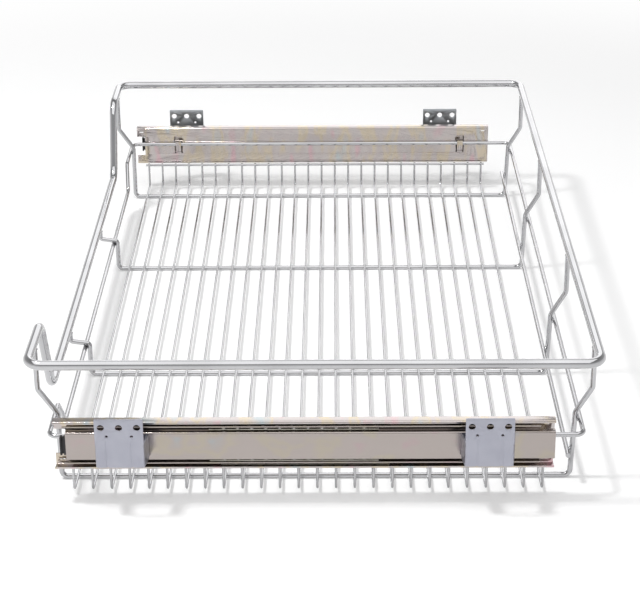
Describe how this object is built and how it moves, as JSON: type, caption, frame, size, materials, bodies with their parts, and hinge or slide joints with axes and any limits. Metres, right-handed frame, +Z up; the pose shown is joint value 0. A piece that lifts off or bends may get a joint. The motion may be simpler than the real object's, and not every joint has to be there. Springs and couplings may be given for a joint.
{
  "type": "pull-out cabinet basket",
  "caption": "Chrome wire basket with a dipped front, carried in a kitchen cabinet on two full-extension ball slides with wall brackets.",
  "frame": {"origin": "on the floor under the middle of the rim", "axes": "+X across the cabinet to the right seen from the front, +Y to the rear, +Z up"},
  "size_m": [0.864, 0.518, 0.142],
  "materials": {
    "chrome_rod": "bright chrome plate on steel rod",
    "slide_zinc": "zinc plated, passivated with a faint yellow and pink tint",
    "bracket_zinc": "blue passivated zinc plate",
    "ball_steel": "polished bearing balls",
    "cage_steel": "zinc plated strip",
    "bumper_black": "moulded black plastic"
  },
  "bodies": {
    "cabinet_side": {"cabinet_member_left": "slide_zinc", "cabinet_member_right": "slide_zinc", "front_bumper_left": "bumper_black", "front_bumper_right": "bumper_black", "wall_bracket_left_front": "bracket_zinc", "wall_bracket_left_rear": "bracket_zinc", "wall_bracket_right_front": "bracket_zinc", "wall_bracket_right_rear": "bracket_zinc"},
    "basket": {"rim_rail": "chrome_rod", "middle_rail": "chrome_rod", "carrier_rod_left_outer": "chrome_rod", "carrier_rod_left_inner": "chrome_rod", "carrier_rod_right_inner": "chrome_rod", "carrier_rod_right_outer": "chrome_rod", "rear_guard_rod": "chrome_rod", "floor_wires": "chrome_rod", "wire_end_rod_left": "chrome_rod", "wire_end_rod_right": "chrome_rod", "slide_channel_left": "slide_zinc", "slide_channel_right": "slide_zinc"},
    "middle_left": {"middle_member_left": "slide_zinc"},
    "outer_cage_left": {"outer_ball_cage_left": "cage_steel", "outer_balls_left": "ball_steel"},
    "inner_cage_left": {"inner_ball_cage_left": "cage_steel", "inner_balls_left": "ball_steel"},
    "middle_right": {"middle_member_right": "slide_zinc"},
    "outer_cage_right": {"outer_ball_cage_right": "cage_steel", "outer_balls_right": "ball_steel"},
    "inner_cage_right": {"inner_ball_cage_right": "cage_steel", "inner_balls_right": "ball_steel"}
  },
  "joints": [
    {"name": "basket_slide", "type": "slide", "parent": "cabinet_side", "child": "basket", "axis": [0, -1, 0], "range_m": [0, 0.45]},
    {"name": "middle_left_slide", "type": "slide", "parent": "cabinet_side", "child": "middle_left", "axis": [0, -1, 0], "range_m": [0, 0.225]},
    {"name": "outer_cage_left_slide", "type": "slide", "parent": "cabinet_side", "child": "outer_cage_left", "axis": [0, -1, 0], "range_m": [0, 0.3375]},
    {"name": "inner_cage_left_slide", "type": "slide", "parent": "cabinet_side", "child": "inner_cage_left", "axis": [0, -1, 0], "range_m": [0, 0.1125]},
    {"name": "middle_right_slide", "type": "slide", "parent": "cabinet_side", "child": "middle_right", "axis": [0, -1, 0], "range_m": [0, 0.225]},
    {"name": "outer_cage_right_slide", "type": "slide", "parent": "cabinet_side", "child": "outer_cage_right", "axis": [0, -1, 0], "range_m": [0, 0.3375]},
    {"name": "inner_cage_right_slide", "type": "slide", "parent": "cabinet_side", "child": "inner_cage_right", "axis": [0, -1, 0], "range_m": [0, 0.1125]}
  ],
  "couplings": [
    {"joint": "middle_left_slide", "follows": "basket_slide", "ratio": 0.5},
    {"joint": "outer_cage_left_slide", "follows": "basket_slide", "ratio": 0.75},
    {"joint": "inner_cage_left_slide", "follows": "basket_slide", "ratio": 0.25},
    {"joint": "middle_right_slide", "follows": "basket_slide", "ratio": 0.5},
    {"joint": "outer_cage_right_slide", "follows": "basket_slide", "ratio": 0.75},
    {"joint": "inner_cage_right_slide", "follows": "basket_slide", "ratio": 0.25}
  ]
}
